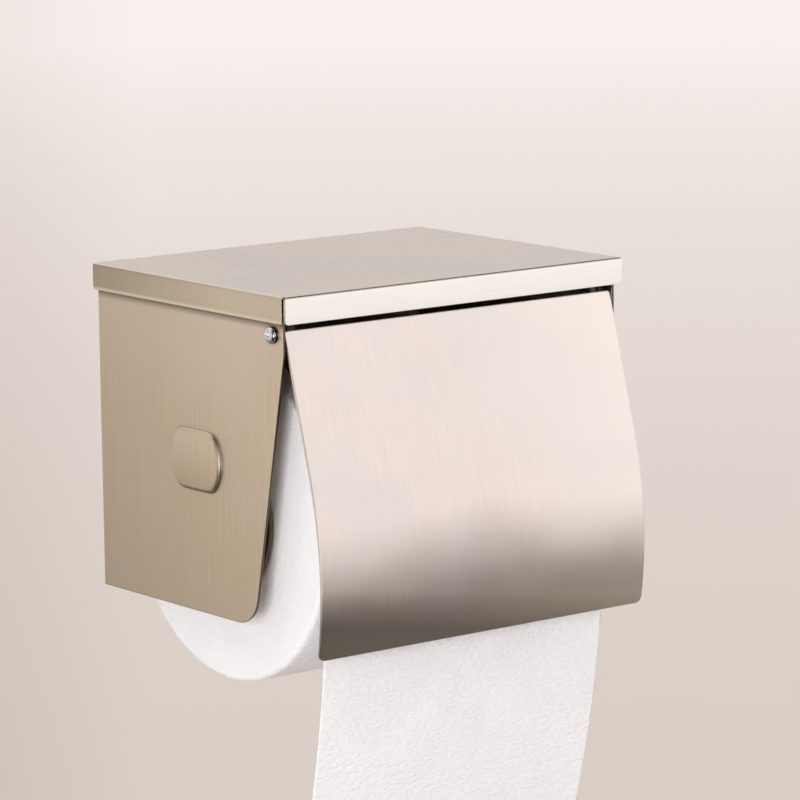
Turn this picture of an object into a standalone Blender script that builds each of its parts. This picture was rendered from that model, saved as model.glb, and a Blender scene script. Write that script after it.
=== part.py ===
"""Wall-mounted toilet paper holder: bent steel shell, lid, lifting front flap and a sprung spindle.

X is the width, the front faces -Y and Z is up. The origin is on the back plate's rear face, which
lies on the wall, 50 mm below the lid's top. Each sheet metal piece is drawn as its outer skin and
thickened inwards.
"""

import math

import bmesh
import bpy
from mathutils import Vector

MM = 0.001
GAP = 0.3 * MM
SHEET = 0.8 * MM

# Lid: a shallow tray turned over, with flanges on its front and sides.
LID_TOP = 50.0 * MM
LID_HALF_WIDTH = 62.5 * MM
LID_DEPTH = 97.5 * MM
LID_FLANGE = 8.0 * MM
LID_FOOT = LID_TOP - LID_FLANGE
LID_BEND = 0.9 * MM
LID_CORNER_GAP = 1.0 * MM
FLANGE_CORNER = 1.0 * MM

# Shell: the back plate and both side panels, bent from one sheet.
SHELL_HALF_WIDTH = LID_HALF_WIDTH - SHEET - GAP
SHELL_TOP = LID_TOP - SHEET - GAP
SHELL_BOTTOM = -48.2 * MM
SHELL_BEND = 1.5 * MM
PANEL_FRONT = -94.8 * MM
PANEL_SLANT_TOP = 32.5 * MM
PANEL_SLANT = math.radians(11.35)
PANEL_CORNER = 10.0 * MM
PANEL_TOP_CORNER = 1.5 * MM
WALL_HOLE_RADIUS = 2.5 * MM
WALL_HOLE_X = 35.0 * MM
WALL_HOLE_HEIGHTS = (32.0 * MM, -30.0 * MM)

# Spindle pockets: round with a flat top and bottom, pressed outwards in both side panels.
SPINDLE_Y = -51.2 * MM
SPINDLE_Z = -2.8 * MM
POCKET_RADIUS = 12.5 * MM
POCKET_HALF_HEIGHT = 9.2 * MM
POCKET_RISE = 1.2 * MM
POCKET_STEPS = 48
POCKET_ARC_STEPS = 5
POCKET_CORNER_POWER = 18

# Flap: a plain sheet, straight at the top and curved lower down, with an ear bracket on each side.
HINGE_Y = -89.6 * MM
HINGE_Z = 38.4 * MM
HINGE_HOLE_RADIUS = 1.75 * MM
FLAP_HALF_WIDTH = SHELL_HALF_WIDTH - SHEET - GAP
FLAP_TOP_Y = -94.0 * MM
FLAP_TOP_Z = 39.8 * MM
FLAP_SLANT = math.radians(15.6)
FLAP_STRAIGHT = 42.4 * MM
FLAP_CURVE_RADIUS = 120.0 * MM
FLAP_CURVE_LENGTH = 52.9 * MM
FLAP_CURVE_STEPS = 18
FLAP_LENGTH = FLAP_STRAIGHT + FLAP_CURVE_LENGTH
FLAP_CORNER = 2.0 * MM
FLAP_CORNER_STEPS = 5
FLAP_TOP_CORNER = 0.8 * MM
EAR_HALF_SPAN = FLAP_HALF_WIDTH - 2.0 * MM
EAR_TOP = 1.2 * MM
EAR_LEG_TOP = 5.0 * MM
EAR_FOOT = 15.0 * MM
EAR_BEND = 1.0 * MM
EAR_LEG = 8.0 * MM
EAR_HEEL_FRONT = HINGE_Y + 1.2 * MM
EAR_HEEL_REAR = HINGE_Y + 5.0 * MM

# Hinge fasteners: an M3 pan head screw, a spacer and a nut on each side.
SCREW_RADIUS = 1.45 * MM
SCREW_HEAD_RADIUS = 2.5 * MM
SCREW_HEAD_HEIGHT = 1.3 * MM
SCREW_END = 0.8 * MM
CROSS_DEPTH = 0.8 * MM
CROSS_LENGTH = 3.0 * MM
CROSS_WIDTH = 0.6 * MM
SPACER_RADIUS = 3.0 * MM
NUT_HALF_FLATS = 2.75 * MM
NUT_HEIGHT = 2.4 * MM
NUT_CHAMFER = 0.3 * MM

# Spindle: two telescoping tubes with a spring between them and a plastic cap on each end.
OUTER_TUBE_RADIUS = 4.75 * MM
TUBE_WALL = 0.6 * MM
INNER_TUBE_RADIUS = OUTER_TUBE_RADIUS - TUBE_WALL - GAP
OUTER_TUBE_END = 22.0 * MM
INNER_TUBE_END = -6.0 * MM
CAP_RADIUS = 10.8 * MM
CAP_HALF_HEIGHT = 7.5 * MM
CAP_THICKNESS = 2.6 * MM
CAP_CHAMFER = 0.5 * MM
CAP_BOSS_LENGTH = 7.0 * MM
SPRING_RADIUS = 3.2 * MM
SPRING_WIRE = 0.35 * MM
SPRING_TURNS = 12
SPRING_STEPS_PER_TURN = 14
SPRING_WIRE_SIDES = 6

# Paper: a roll that hangs on the spindle by its cardboard core, and the sheet that hangs from it.
ROLL_HALF_WIDTH = 52.25 * MM
ROLL_RADIUS = 49.8 * MM
ROLL_EDGE = 1.2 * MM
CORE_INNER_RADIUS = 22.6 * MM
CORE_WALL = 1.2 * MM
ROLL_Z = SPINDLE_Z + OUTER_TUBE_RADIUS + GAP - CORE_INNER_RADIUS
TAIL_THICKNESS = 0.4 * MM
TAIL_TOP = -12.0 * MM
TAIL_BOTTOM = -120.0 * MM
TAIL_CURL = 1.45
TAIL_STEPS = 22

STEEL = (0.63, 0.56, 0.47)
FLAP_STEEL = (0.74, 0.67, 0.60)
CHROME = (0.85, 0.85, 0.86)
ZINC = (0.60, 0.61, 0.63)
WHITE_PLASTIC = (0.82, 0.81, 0.78)
CARDBOARD = (0.55, 0.43, 0.30)
PAPER = (0.93, 0.92, 0.91)


def clear_scene():
    for obj in list(bpy.data.objects):
        bpy.data.objects.remove(obj, do_unlink=True)


def make_material(name, colour, roughness, metallic):
    material = bpy.data.materials.new(name)
    material.use_nodes = True
    shader = material.node_tree.nodes["Principled BSDF"]
    shader.inputs["Base Color"].default_value = (*colour, 1.0)
    shader.inputs["Roughness"].default_value = roughness
    shader.inputs["Metallic"].default_value = metallic
    return material


def make_object(name, bm, finish, origin=(0, 0, 0)):
    """Turns world-space geometry into an object whose own origin is at the given point."""
    for vert in bm.verts:
        vert.co -= Vector(origin)
    mesh = bpy.data.meshes.new(name)
    bm.to_mesh(mesh)
    bm.free()
    mesh.shade_smooth()
    mesh.set_sharp_from_angle(angle=math.radians(35))
    mesh.materials.append(make_material(name + "_finish", *finish))
    obj = bpy.data.objects.new(name, mesh)
    obj.location = origin
    bpy.context.collection.objects.link(obj)
    return obj


def thicken(obj, thickness=SHEET):
    """Gives an outer skin its sheet thickness, on the inner side."""
    solidify = obj.modifiers.new("sheet", "SOLIDIFY")
    solidify.thickness = thickness
    solidify.offset = -1
    solidify.use_even_offset = True


def face_one_way(bm):
    bm.normal_update()
    bmesh.ops.recalc_face_normals(bm, faces=bm.faces)


def face_outwards(bm):
    """Turns a closed solid's faces to point out of it."""
    face_one_way(bm)
    if bm.calc_volume(signed=True) < 0:
        bmesh.ops.reverse_faces(bm, faces=bm.faces)


def face_away_from(bm, inside):
    """Turns a skin's faces to point away from a place inside the object."""
    face_one_way(bm)
    outward = 0
    for face in bm.faces:
        outward += face.calc_area() * face.normal.dot(face.calc_center_median() - Vector(inside))
    if outward < 0:
        bmesh.ops.reverse_faces(bm, faces=bm.faces)


def add_ring(bm, points):
    return [bm.verts.new(point) for point in points]


def add_loop_edges(bm, verts):
    edges = []
    for start, end in zip(verts, verts[1:] + verts[:1]):
        edges.append(bm.edges.get((start, end)) or bm.edges.new((start, end)))
    return edges


def fill_flat(bm, outline, holes=()):
    """Fills a flat outline, leaving its holes open."""
    edges = add_loop_edges(bm, outline)
    for hole in holes:
        edges += add_loop_edges(bm, hole)
    bmesh.ops.triangle_fill(bm, use_beauty=True, edges=edges)


def bridge(bm, first, second, closed=True):
    """Joins two rows of the same number of vertices with quads."""
    count = len(first)
    for index in range(count if closed else count - 1):
        after = (index + 1) % count
        bm.faces.new((first[index], first[after], second[after], second[index]))


def circle(radius, steps):
    """Points (a, b) of a circle about zero."""
    angles = [2 * math.pi * index / steps for index in range(steps)]
    return [(radius * math.cos(angle), radius * math.sin(angle)) for angle in angles]


def flat_sided_circle(radius, half_height, steps):
    """Points of a circle cut flat at its top and bottom, with its four corners eased."""
    points = []
    for across, up in circle(1.0, steps):
        flat = half_height / max(abs(up), 1e-6)
        power = POCKET_CORNER_POWER
        reach = (radius**-power + flat**-power) ** (-1 / power)
        points.append((reach * across, reach * up))
    return points


def corner_arc(corner, before, after, radius, steps=6):
    """Points that round one corner of a flat outline, given its neighbours."""
    corner, before, after = Vector(corner), Vector(before), Vector(after)
    towards_before = (before - corner).normalized()
    towards_after = (after - corner).normalized()
    half = towards_before.angle(towards_after) / 2
    centre = corner + (towards_before + towards_after).normalized() * radius / math.sin(half)
    start = (corner + towards_before * radius / math.tan(half) - centre).normalized()
    end = (corner + towards_after * radius / math.tan(half) - centre).normalized()
    turns = [index / steps for index in range(steps + 1)]
    return [tuple(centre + start.slerp(end, turn) * radius) for turn in turns]


def turned(name, profile, finish, centre, side, steps=32, hollow=False):
    """A solid turned about a line along X. Its profile is a list of (x, radius)."""
    bm = bmesh.new()
    rings = []
    for x, radius in profile:
        points = [(side * x, centre[0] + a, centre[1] + b) for a, b in circle(radius, steps)]
        rings.append(add_ring(bm, points))
    for first, second in zip(rings, rings[1:]):
        bridge(bm, first, second)
    if hollow:
        bridge(bm, rings[-1], rings[0])
    else:
        bm.faces.new(rings[0])
        bm.faces.new(rings[-1])
    face_outwards(bm)
    return make_object(name, bm, finish, origin=(0, *centre))


def panel_outline():
    """The side panel's front, slanted and bottom edges as (y, z), from its top front corner down."""
    slant_run = (PANEL_SLANT_TOP - SHELL_BOTTOM) * math.tan(PANEL_SLANT)
    top = (PANEL_FRONT, SHELL_TOP)
    knee = (PANEL_FRONT, PANEL_SLANT_TOP)
    foot = (PANEL_FRONT + slant_run, SHELL_BOTTOM)
    rear_top = (-SHELL_BEND, SHELL_TOP)
    rear_foot = (-SHELL_BEND, SHELL_BOTTOM)
    outline = corner_arc(top, rear_top, knee, PANEL_TOP_CORNER, steps=4)
    outline += corner_arc(knee, top, foot, 20 * MM, steps=3)
    outline += corner_arc(foot, knee, rear_foot, PANEL_CORNER, steps=10)
    return outline


def add_pocket(bm, side):
    """The pressed pocket's wall and floor. Returns the ring where it leaves the flat panel."""
    rings = []
    for index in range(POCKET_ARC_STEPS + 1):
        angle = math.pi / 2 * index / POCKET_ARC_STEPS
        inset = POCKET_RISE * (1 - math.cos(angle))
        rise = POCKET_RISE * math.sin(angle)
        outline = flat_sided_circle(POCKET_RADIUS - inset, POCKET_HALF_HEIGHT - inset, POCKET_STEPS)
        x = side * (SHELL_HALF_WIDTH + rise)
        rings.append(add_ring(bm, [(x, SPINDLE_Y + a, SPINDLE_Z + b) for a, b in outline]))
    for first, second in zip(rings, rings[1:]):
        bridge(bm, first, second)
    bm.faces.new(rings[-1])
    return rings[0]


def add_rear_bend(bm, side):
    """The quarter bend from the back plate into one side panel, as its rows of two vertices."""
    rows = []
    steps = 4
    for index in range(steps + 1):
        angle = math.pi / 2 * index / steps
        x = side * (SHELL_HALF_WIDTH - SHELL_BEND * (1 - math.sin(angle)))
        y = -SHELL_BEND * (1 - math.cos(angle))
        rows.append(add_ring(bm, [(x, y, SHELL_TOP), (x, y, SHELL_BOTTOM)]))
    for first, second in zip(rows, rows[1:]):
        bridge(bm, first, second, closed=False)
    return rows[0], rows[-1]


def make_body_shell():
    bm = bmesh.new()
    back_edges = {}
    for side in (-1, 1):
        back_edges[side], (rear_top, rear_foot) = add_rear_bend(bm, side)
        x = side * SHELL_HALF_WIDTH
        front = add_ring(bm, [(x, y, z) for y, z in panel_outline()])
        hinge = add_ring(bm, [(x, HINGE_Y + a, HINGE_Z + b) for a, b in circle(HINGE_HOLE_RADIUS, 20)])
        pocket = add_pocket(bm, side)
        fill_flat(bm, [rear_top, *front, rear_foot], [hinge, pocket])
    holes = []
    for side in (-1, 1):
        for height in WALL_HOLE_HEIGHTS:
            points = circle(WALL_HOLE_RADIUS, 20)
            holes.append(add_ring(bm, [(side * WALL_HOLE_X + a, 0, height + b) for a, b in points]))
    left_top, left_foot = back_edges[-1]
    right_top, right_foot = back_edges[1]
    fill_flat(bm, [left_top, left_foot, right_foot, right_top], holes)
    face_away_from(bm, (0, SPINDLE_Y, SPINDLE_Z))
    thicken(make_object("body_shell", bm, (STEEL, 0.34, 1.0)))


def lid_bend_rows(steps=4):
    """Pairs (outwards from the bend line, height) along the lid's bend."""
    angles = [math.pi / 2 * index / steps for index in range(steps + 1)]
    return [(LID_BEND * math.sin(angle), LID_TOP - LID_BEND * (1 - math.cos(angle))) for angle in angles]


def make_lid():
    bm = bmesh.new()
    inner_x = LID_HALF_WIDTH - LID_BEND
    inner_y = -LID_DEPTH + LID_BEND
    side_front = -LID_DEPTH + SHEET + LID_CORNER_GAP
    side_edges = {}
    for side in (-1, 1):
        rows = []
        for out, z in lid_bend_rows():
            x = side * (inner_x + out)
            rows.append(add_ring(bm, [(x, 0, z), (x, side_front, z)]))
        for first, second in zip(rows, rows[1:]):
            bridge(bm, first, second, closed=False)
        side_edges[side] = rows[0]
        rear, front = rows[-1]
        x = side * LID_HALF_WIDTH
        foot_rear, foot_front = (0, LID_FOOT), (side_front, LID_FOOT)
        lower = corner_arc(foot_front, (side_front, LID_TOP), foot_rear, FLANGE_CORNER / 2, steps=3)
        lower += corner_arc(foot_rear, foot_front, (0, LID_TOP), FLANGE_CORNER, steps=3)
        fill_flat(bm, [rear, front, *add_ring(bm, [(x, y, z) for y, z in lower])])
    rows = []
    for out, z in lid_bend_rows():
        x = inner_x + out
        rows.append(add_ring(bm, [(-x, inner_y - out, z), (x, inner_y - out, z)]))
    for first, second in zip(rows, rows[1:]):
        bridge(bm, first, second, closed=False)
    plate = [side_edges[-1][0], side_edges[-1][1], *rows[0], side_edges[1][1], side_edges[1][0]]
    bm.faces.new(plate)
    left_foot, right_foot = (-LID_HALF_WIDTH, LID_FOOT), (LID_HALF_WIDTH, LID_FOOT)
    lower = corner_arc(left_foot, (-LID_HALF_WIDTH, LID_TOP), right_foot, FLANGE_CORNER, steps=4)
    lower += corner_arc(right_foot, left_foot, (LID_HALF_WIDTH, LID_TOP), FLANGE_CORNER, steps=4)
    front_left, front_right = rows[-1]
    flange = add_ring(bm, [(x, -LID_DEPTH, z) for x, z in lower])
    fill_flat(bm, [front_left, *flange, front_right])
    face_away_from(bm, (0, -LID_DEPTH / 2, 0))
    thicken(make_object("lid", bm, (STEEL, 0.34, 1.0)))


def flap_point(distance):
    """The flap's outer face as (y, z), at a distance along it from its top edge."""
    straight = min(distance, FLAP_STRAIGHT)
    y = FLAP_TOP_Y - straight * math.sin(FLAP_SLANT)
    z = FLAP_TOP_Z - straight * math.cos(FLAP_SLANT)
    turn = max(distance - FLAP_STRAIGHT, 0) / FLAP_CURVE_RADIUS
    y -= FLAP_CURVE_RADIUS * (math.cos(FLAP_SLANT - turn) - math.cos(FLAP_SLANT))
    z -= FLAP_CURVE_RADIUS * (math.sin(FLAP_SLANT) - math.sin(FLAP_SLANT - turn))
    return y, z


def flap_half_width(distance):
    """Half the flap's width at a distance along it: its corners are rounded."""
    into_top = max(FLAP_TOP_CORNER - distance, 0)
    into_foot = min(max(distance - FLAP_LENGTH + FLAP_CORNER, 0), FLAP_CORNER)
    top = FLAP_TOP_CORNER - math.sqrt(FLAP_TOP_CORNER**2 - into_top**2)
    foot = FLAP_CORNER - math.sqrt(FLAP_CORNER**2 - into_foot**2)
    return FLAP_HALF_WIDTH - top - foot


def flap_rows():
    """Distances along the flap of its rows of vertices, from its top edge to its bottom edge."""
    quarter = [math.pi / 2 * index / FLAP_CORNER_STEPS for index in range(FLAP_CORNER_STEPS + 1)]
    corner_start = FLAP_LENGTH - FLAP_CORNER
    step = (corner_start - FLAP_STRAIGHT) / FLAP_CURVE_STEPS
    rows = [FLAP_TOP_CORNER * (1 - math.cos(angle)) for angle in quarter]
    rows += [FLAP_STRAIGHT + step * index for index in range(FLAP_CURVE_STEPS)]
    rows += [corner_start + FLAP_CORNER * math.sin(angle) for angle in quarter]
    return rows


def make_front_flap():
    bm = bmesh.new()
    before = None
    for distance in flap_rows():
        y, z = flap_point(distance)
        half_width = flap_half_width(distance)
        row = add_ring(bm, [(-half_width, y, z), (half_width, y, z)])
        if before:
            bridge(bm, before, row, closed=False)
        before = row
    face_away_from(bm, (0, SPINDLE_Y, SPINDLE_Z))
    thicken(make_object("front_flap", bm, (FLAP_STEEL, 0.3, 1.0), origin=(0, HINGE_Y, HINGE_Z)))


def make_flap_ear(name, side):
    """An L-shaped bracket on the flap's back, with the hinge hole and a heel that stops the flap."""
    bm = bmesh.new()

    def behind_flap(x, depth, *distances):
        points = []
        for distance in distances:
            y, z = flap_point(distance)
            points.append((side * x, y + depth * math.cos(FLAP_SLANT), z - depth * math.sin(FLAP_SLANT)))
        return add_ring(bm, points)

    leg_depth = SHEET + GAP
    rows = [behind_flap(EAR_HALF_SPAN - EAR_LEG, leg_depth, EAR_LEG_TOP, EAR_FOOT)]
    steps = 4
    for index in range(steps + 1):
        angle = math.pi / 2 * index / steps
        x = EAR_HALF_SPAN - EAR_BEND * (1 - math.sin(angle))
        depth = leg_depth + EAR_BEND * (1 - math.cos(angle))
        rows.append(behind_flap(x, depth, EAR_LEG_TOP, EAR_FOOT))
    for first, second in zip(rows, rows[1:]):
        bridge(bm, first, second, closed=False)
    heel = [
        (EAR_HEEL_REAR, HINGE_Z - 3.5 * MM),
        (EAR_HEEL_REAR, SHELL_TOP),
        (EAR_HEEL_FRONT, SHELL_TOP),
    ]
    x = side * EAR_HALF_SPAN
    free_edge = add_ring(bm, [(x, y, z) for y, z in heel])
    free_edge += behind_flap(EAR_HALF_SPAN, leg_depth, EAR_TOP, EAR_LEG_TOP - EAR_BEND / 2)
    hole = add_ring(bm, [(x, HINGE_Y + a, HINGE_Z + b) for a, b in circle(HINGE_HOLE_RADIUS, 20)])
    fill_flat(bm, [*rows[-1], *free_edge], [hole])
    face_away_from(bm, (0, SPINDLE_Y, SPINDLE_Z))
    thicken(make_object(name, bm, (STEEL, 0.34, 1.0), origin=(0, HINGE_Y, HINGE_Z)))


def make_cross_cutter(name, side, head_top):
    """Two crossed bars that cut the screw's driver recess."""
    for index, (half_y, half_z) in enumerate(((CROSS_LENGTH, CROSS_WIDTH), (CROSS_WIDTH, CROSS_LENGTH))):
        bm = bmesh.new()
        bmesh.ops.create_cube(bm, size=1.0)
        for vert in bm.verts:
            vert.co.x = side * (head_top - CROSS_DEPTH + (vert.co.x + 0.5) * 2 * CROSS_DEPTH)
            vert.co.y = HINGE_Y + vert.co.y * half_y
            vert.co.z = HINGE_Z + vert.co.z * half_z
        face_outwards(bm)
        cutter = make_object(f"{name}_{index}", bm, (CHROME, 0.1, 1.0))
        cutter.hide_render = True
        cutter.display_type = "WIRE"
        yield cutter


def make_hinge_screw(name, side):
    seat = SHELL_HALF_WIDTH + GAP
    end = EAR_HALF_SPAN - SHEET - GAP - NUT_HEIGHT - SCREW_END
    profile = [(end, SCREW_RADIUS - GAP), (end + GAP, SCREW_RADIUS), (seat, SCREW_RADIUS)]
    profile += [(seat, SCREW_HEAD_RADIUS - GAP / 2), (seat + GAP, SCREW_HEAD_RADIUS)]
    steps = 5
    for index in range(1, steps + 1):
        angle = math.pi / 2 * index / steps
        height = seat + GAP + (SCREW_HEAD_HEIGHT - GAP) * math.sin(angle)
        profile.append((height, SCREW_HEAD_RADIUS * (0.45 + 0.55 * math.cos(angle))))
    screw = turned(name, profile, (CHROME, 0.12, 1.0), (HINGE_Y, HINGE_Z), side, steps=28)
    for cutter in make_cross_cutter(name + "_cross", side, seat + SCREW_HEAD_HEIGHT):
        cut = screw.modifiers.new(cutter.name, "BOOLEAN")
        cut.operation = "DIFFERENCE"
        cut.object = cutter


def make_hinge_spacer(name, side):
    """A short sleeve on the screw that keeps the ear off the side panel."""
    outer = SHELL_HALF_WIDTH - SHEET - GAP
    inner = EAR_HALF_SPAN + GAP
    hole = HINGE_HOLE_RADIUS
    profile = [(outer, hole), (outer, SPACER_RADIUS), (inner, SPACER_RADIUS), (inner, hole)]
    turned(name, profile, (ZINC, 0.3, 1.0), (HINGE_Y, HINGE_Z), side, steps=24, hollow=True)


def make_hinge_nut(name, side):
    outer = EAR_HALF_SPAN - SHEET - GAP
    inner = outer - NUT_HEIGHT
    bm = bmesh.new()

    def hexagon(x, shrink):
        points = []
        for a, b in circle(1.0, 24):
            turn = math.atan2(b, a) % (math.pi / 3) - math.pi / 6
            reach = NUT_HALF_FLATS / math.cos(turn) - shrink
            points.append((side * x, HINGE_Y + a * reach, HINGE_Z + b * reach))
        return add_ring(bm, points)

    def hole(x):
        points = circle(HINGE_HOLE_RADIUS, 24)
        return add_ring(bm, [(side * x, HINGE_Y + a, HINGE_Z + b) for a, b in points])

    rings = [hole(outer), hexagon(outer, NUT_CHAMFER), hexagon(outer - NUT_CHAMFER, 0)]
    rings += [hexagon(inner + NUT_CHAMFER, 0), hexagon(inner, NUT_CHAMFER), hole(inner)]
    for first, second in zip(rings, rings[1:] + rings[:1]):
        bridge(bm, first, second)
    face_outwards(bm)
    make_object(name, bm, (ZINC, 0.28, 1.0), origin=(0, HINGE_Y, HINGE_Z))


def pocket_floor():
    """How far out the pocket's inner face is."""
    return SHELL_HALF_WIDTH + POCKET_RISE - SHEET


def make_spindle_cap(name, side, boss_radius):
    """A plug that sits in the pressed pocket, with a boss that fills the end of its tube."""
    bm = bmesh.new()
    outer = pocket_floor() - GAP
    inner = outer - CAP_THICKNESS
    steps = POCKET_STEPS

    def plate(x, shrink):
        outline = flat_sided_circle(CAP_RADIUS - shrink, CAP_HALF_HEIGHT - shrink, steps)
        return add_ring(bm, [(side * x, SPINDLE_Y + a, SPINDLE_Z + b) for a, b in outline])

    def round_ring(x, radius):
        points = circle(radius, steps)
        return add_ring(bm, [(side * x, SPINDLE_Y + a, SPINDLE_Z + b) for a, b in points])

    rings = [plate(outer, CAP_CHAMFER), plate(outer - CAP_CHAMFER, 0), plate(inner, 0)]
    rings += [round_ring(inner, boss_radius), round_ring(inner - CAP_BOSS_LENGTH, boss_radius)]
    for first, second in zip(rings, rings[1:]):
        bridge(bm, first, second)
    bm.faces.new(rings[0])
    bm.faces.new(rings[-1])
    face_outwards(bm)
    make_object(name, bm, (WHITE_PLASTIC, 0.45, 0.0), origin=(0, SPINDLE_Y, SPINDLE_Z))


def make_tube(name, start, end, radius):
    """One half of the spindle, with its ends a little eased."""
    ease = 0.15 * MM
    bore = radius - TUBE_WALL
    profile = [(start + ease, radius), (end - ease, radius), (end, radius - ease)]
    profile += [(end, bore), (start, bore), (start, radius - ease)]
    turned(name, profile, (CHROME, 0.2, 1.0), (SPINDLE_Y, SPINDLE_Z), 1, steps=36, hollow=True)


def make_spring(name, start, end):
    """A round wire wound along X, with flat cut ends."""
    bm = bmesh.new()
    count = SPRING_TURNS * SPRING_STEPS_PER_TURN
    advance = (end - start) / count
    slope = math.atan2(advance * SPRING_STEPS_PER_TURN, 2 * math.pi * SPRING_RADIUS)
    rings = []
    for index in range(count + 1):
        turn = 2 * math.pi * index / SPRING_STEPS_PER_TURN
        outwards = Vector((0, math.cos(turn), math.sin(turn)))
        along = Vector((math.tan(slope), -math.sin(turn), math.cos(turn))).normalized()
        across = along.cross(outwards)
        centre = Vector((start + advance * index, SPINDLE_Y, SPINDLE_Z)) + outwards * SPRING_RADIUS
        wire = circle(SPRING_WIRE, SPRING_WIRE_SIDES)
        rings.append(add_ring(bm, [centre + outwards * a + across * b for a, b in wire]))
    for first, second in zip(rings, rings[1:]):
        bridge(bm, first, second)
    bm.faces.new(rings[0])
    bm.faces.new(rings[-1])
    face_outwards(bm)
    make_object(name, bm, (ZINC, 0.25, 1.0), origin=(0, SPINDLE_Y, SPINDLE_Z))


def make_spindle():
    plate_inner = pocket_floor() - GAP - CAP_THICKNESS
    tube_end = plate_inner - GAP
    make_spindle_cap("spindle_cap_left", -1, OUTER_TUBE_RADIUS - TUBE_WALL - GAP)
    make_spindle_cap("spindle_cap_right", 1, INNER_TUBE_RADIUS - TUBE_WALL - GAP)
    make_tube("spindle_outer_tube", -tube_end, OUTER_TUBE_END, OUTER_TUBE_RADIUS)
    make_tube("spindle_inner_tube", INNER_TUBE_END, tube_end, INNER_TUBE_RADIUS)
    spring_start = -plate_inner + CAP_BOSS_LENGTH + GAP + SPRING_WIRE
    make_spring("spindle_spring", spring_start, INNER_TUBE_END - GAP - SPRING_WIRE)


def make_paper_roll():
    centre = (SPINDLE_Y, ROLL_Z)
    width = ROLL_HALF_WIDTH
    core_inner = CORE_INNER_RADIUS
    core_outer = core_inner + CORE_WALL
    core = [(-width, core_inner), (-width, core_outer), (width, core_outer), (width, core_inner)]
    turned("roll_core", core, (CARDBOARD, 0.9, 0.0), centre, 1, steps=48, hollow=True)
    bore = core_outer + GAP
    edge = []
    steps = 2
    for index in range(steps + 1):
        angle = math.pi / 2 * index / steps
        x = width - ROLL_EDGE * (1 - math.sin(angle))
        edge.append((x, ROLL_RADIUS - ROLL_EDGE * (1 - math.cos(angle))))
    half = [*edge, (width, bore)]
    profile = [(-x, radius) for x, radius in reversed(half)] + half
    turned("paper_roll", profile, (PAPER, 0.95, 0.0), centre, 1, steps=64, hollow=True)


def make_paper_tail():
    """The loose end that hangs from the front of the roll and curls back a little."""
    bm = bmesh.new()
    face_y = SPINDLE_Y - ROLL_RADIUS - GAP - TAIL_THICKNESS
    before = None
    for index in range(TAIL_STEPS + 1):
        z = TAIL_TOP + (TAIL_BOTTOM - TAIL_TOP) * index / TAIL_STEPS
        y = face_y + TAIL_CURL * min(z - ROLL_Z, 0) ** 2
        row = add_ring(bm, [(-ROLL_HALF_WIDTH, y, z), (ROLL_HALF_WIDTH, y, z)])
        if before:
            bridge(bm, before, row, closed=False)
        before = row
    face_away_from(bm, (0, SPINDLE_Y, ROLL_Z))
    thicken(make_object("paper_tail", bm, (PAPER, 0.95, 0.0)), TAIL_THICKNESS)


def main():
    clear_scene()
    make_body_shell()
    make_lid()
    make_front_flap()
    for side, word in ((-1, "left"), (1, "right")):
        make_flap_ear(f"flap_ear_{word}", side)
        make_hinge_screw(f"hinge_screw_{word}", side)
        make_hinge_spacer(f"hinge_spacer_{word}", side)
        make_hinge_nut(f"hinge_nut_{word}", side)
    make_spindle()
    make_paper_roll()
    make_paper_tail()


main()
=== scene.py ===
"""Looks of the wall toilet paper holder: warm brushed steel, white tissue, soft studio light.

Metres in the frame's own axes: +X to the right, -Y to the front, +Z up, origin on the wall.
"""

import math

import bmesh
import bpy
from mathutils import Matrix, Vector, noise


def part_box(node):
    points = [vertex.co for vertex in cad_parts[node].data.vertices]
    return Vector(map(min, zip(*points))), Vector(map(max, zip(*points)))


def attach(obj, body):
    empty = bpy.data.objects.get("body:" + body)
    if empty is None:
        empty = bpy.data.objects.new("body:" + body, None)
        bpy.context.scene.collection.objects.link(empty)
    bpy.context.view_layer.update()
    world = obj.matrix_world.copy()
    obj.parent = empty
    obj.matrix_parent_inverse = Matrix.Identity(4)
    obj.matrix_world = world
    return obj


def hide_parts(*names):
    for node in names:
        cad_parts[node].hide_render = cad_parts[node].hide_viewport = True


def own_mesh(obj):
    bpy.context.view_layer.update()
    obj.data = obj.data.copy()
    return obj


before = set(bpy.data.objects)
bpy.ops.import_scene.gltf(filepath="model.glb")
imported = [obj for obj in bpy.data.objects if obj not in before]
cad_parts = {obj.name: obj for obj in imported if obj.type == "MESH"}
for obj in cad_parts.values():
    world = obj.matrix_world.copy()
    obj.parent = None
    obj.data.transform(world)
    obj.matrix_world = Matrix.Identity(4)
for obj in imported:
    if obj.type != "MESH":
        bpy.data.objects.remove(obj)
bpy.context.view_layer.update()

MM = 0.001

# Camera: its turn is in degrees and its focal length in millimetres
CAMERA_PLACE = (-0.7504, -1.0424, 0.2209)
CAMERA_TURN = (80.266, 0.664, -37.738)
CAMERA_LENS = 188.96

# Floor: near and far colours, on the right and left; painted shade makes it darker near and to the
# left
FLOOR_HEIGHT = -2.0
FLOOR_RADIUS = 60.0
FLOOR_RIGHT = ((0.675, 0.61, 0.56), (0.97, 0.92, 0.925))
FLOOR_LEFT = ((0.51, 0.45, 0.40), (0.745, 0.685, 0.65))
FLOOR_FADE = (5.0, 25.0)
FLOOR_TURN = (-0.16, -0.06)
FLOOR_RIGHTWARDS = (0.79, -0.61, 0)

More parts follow.
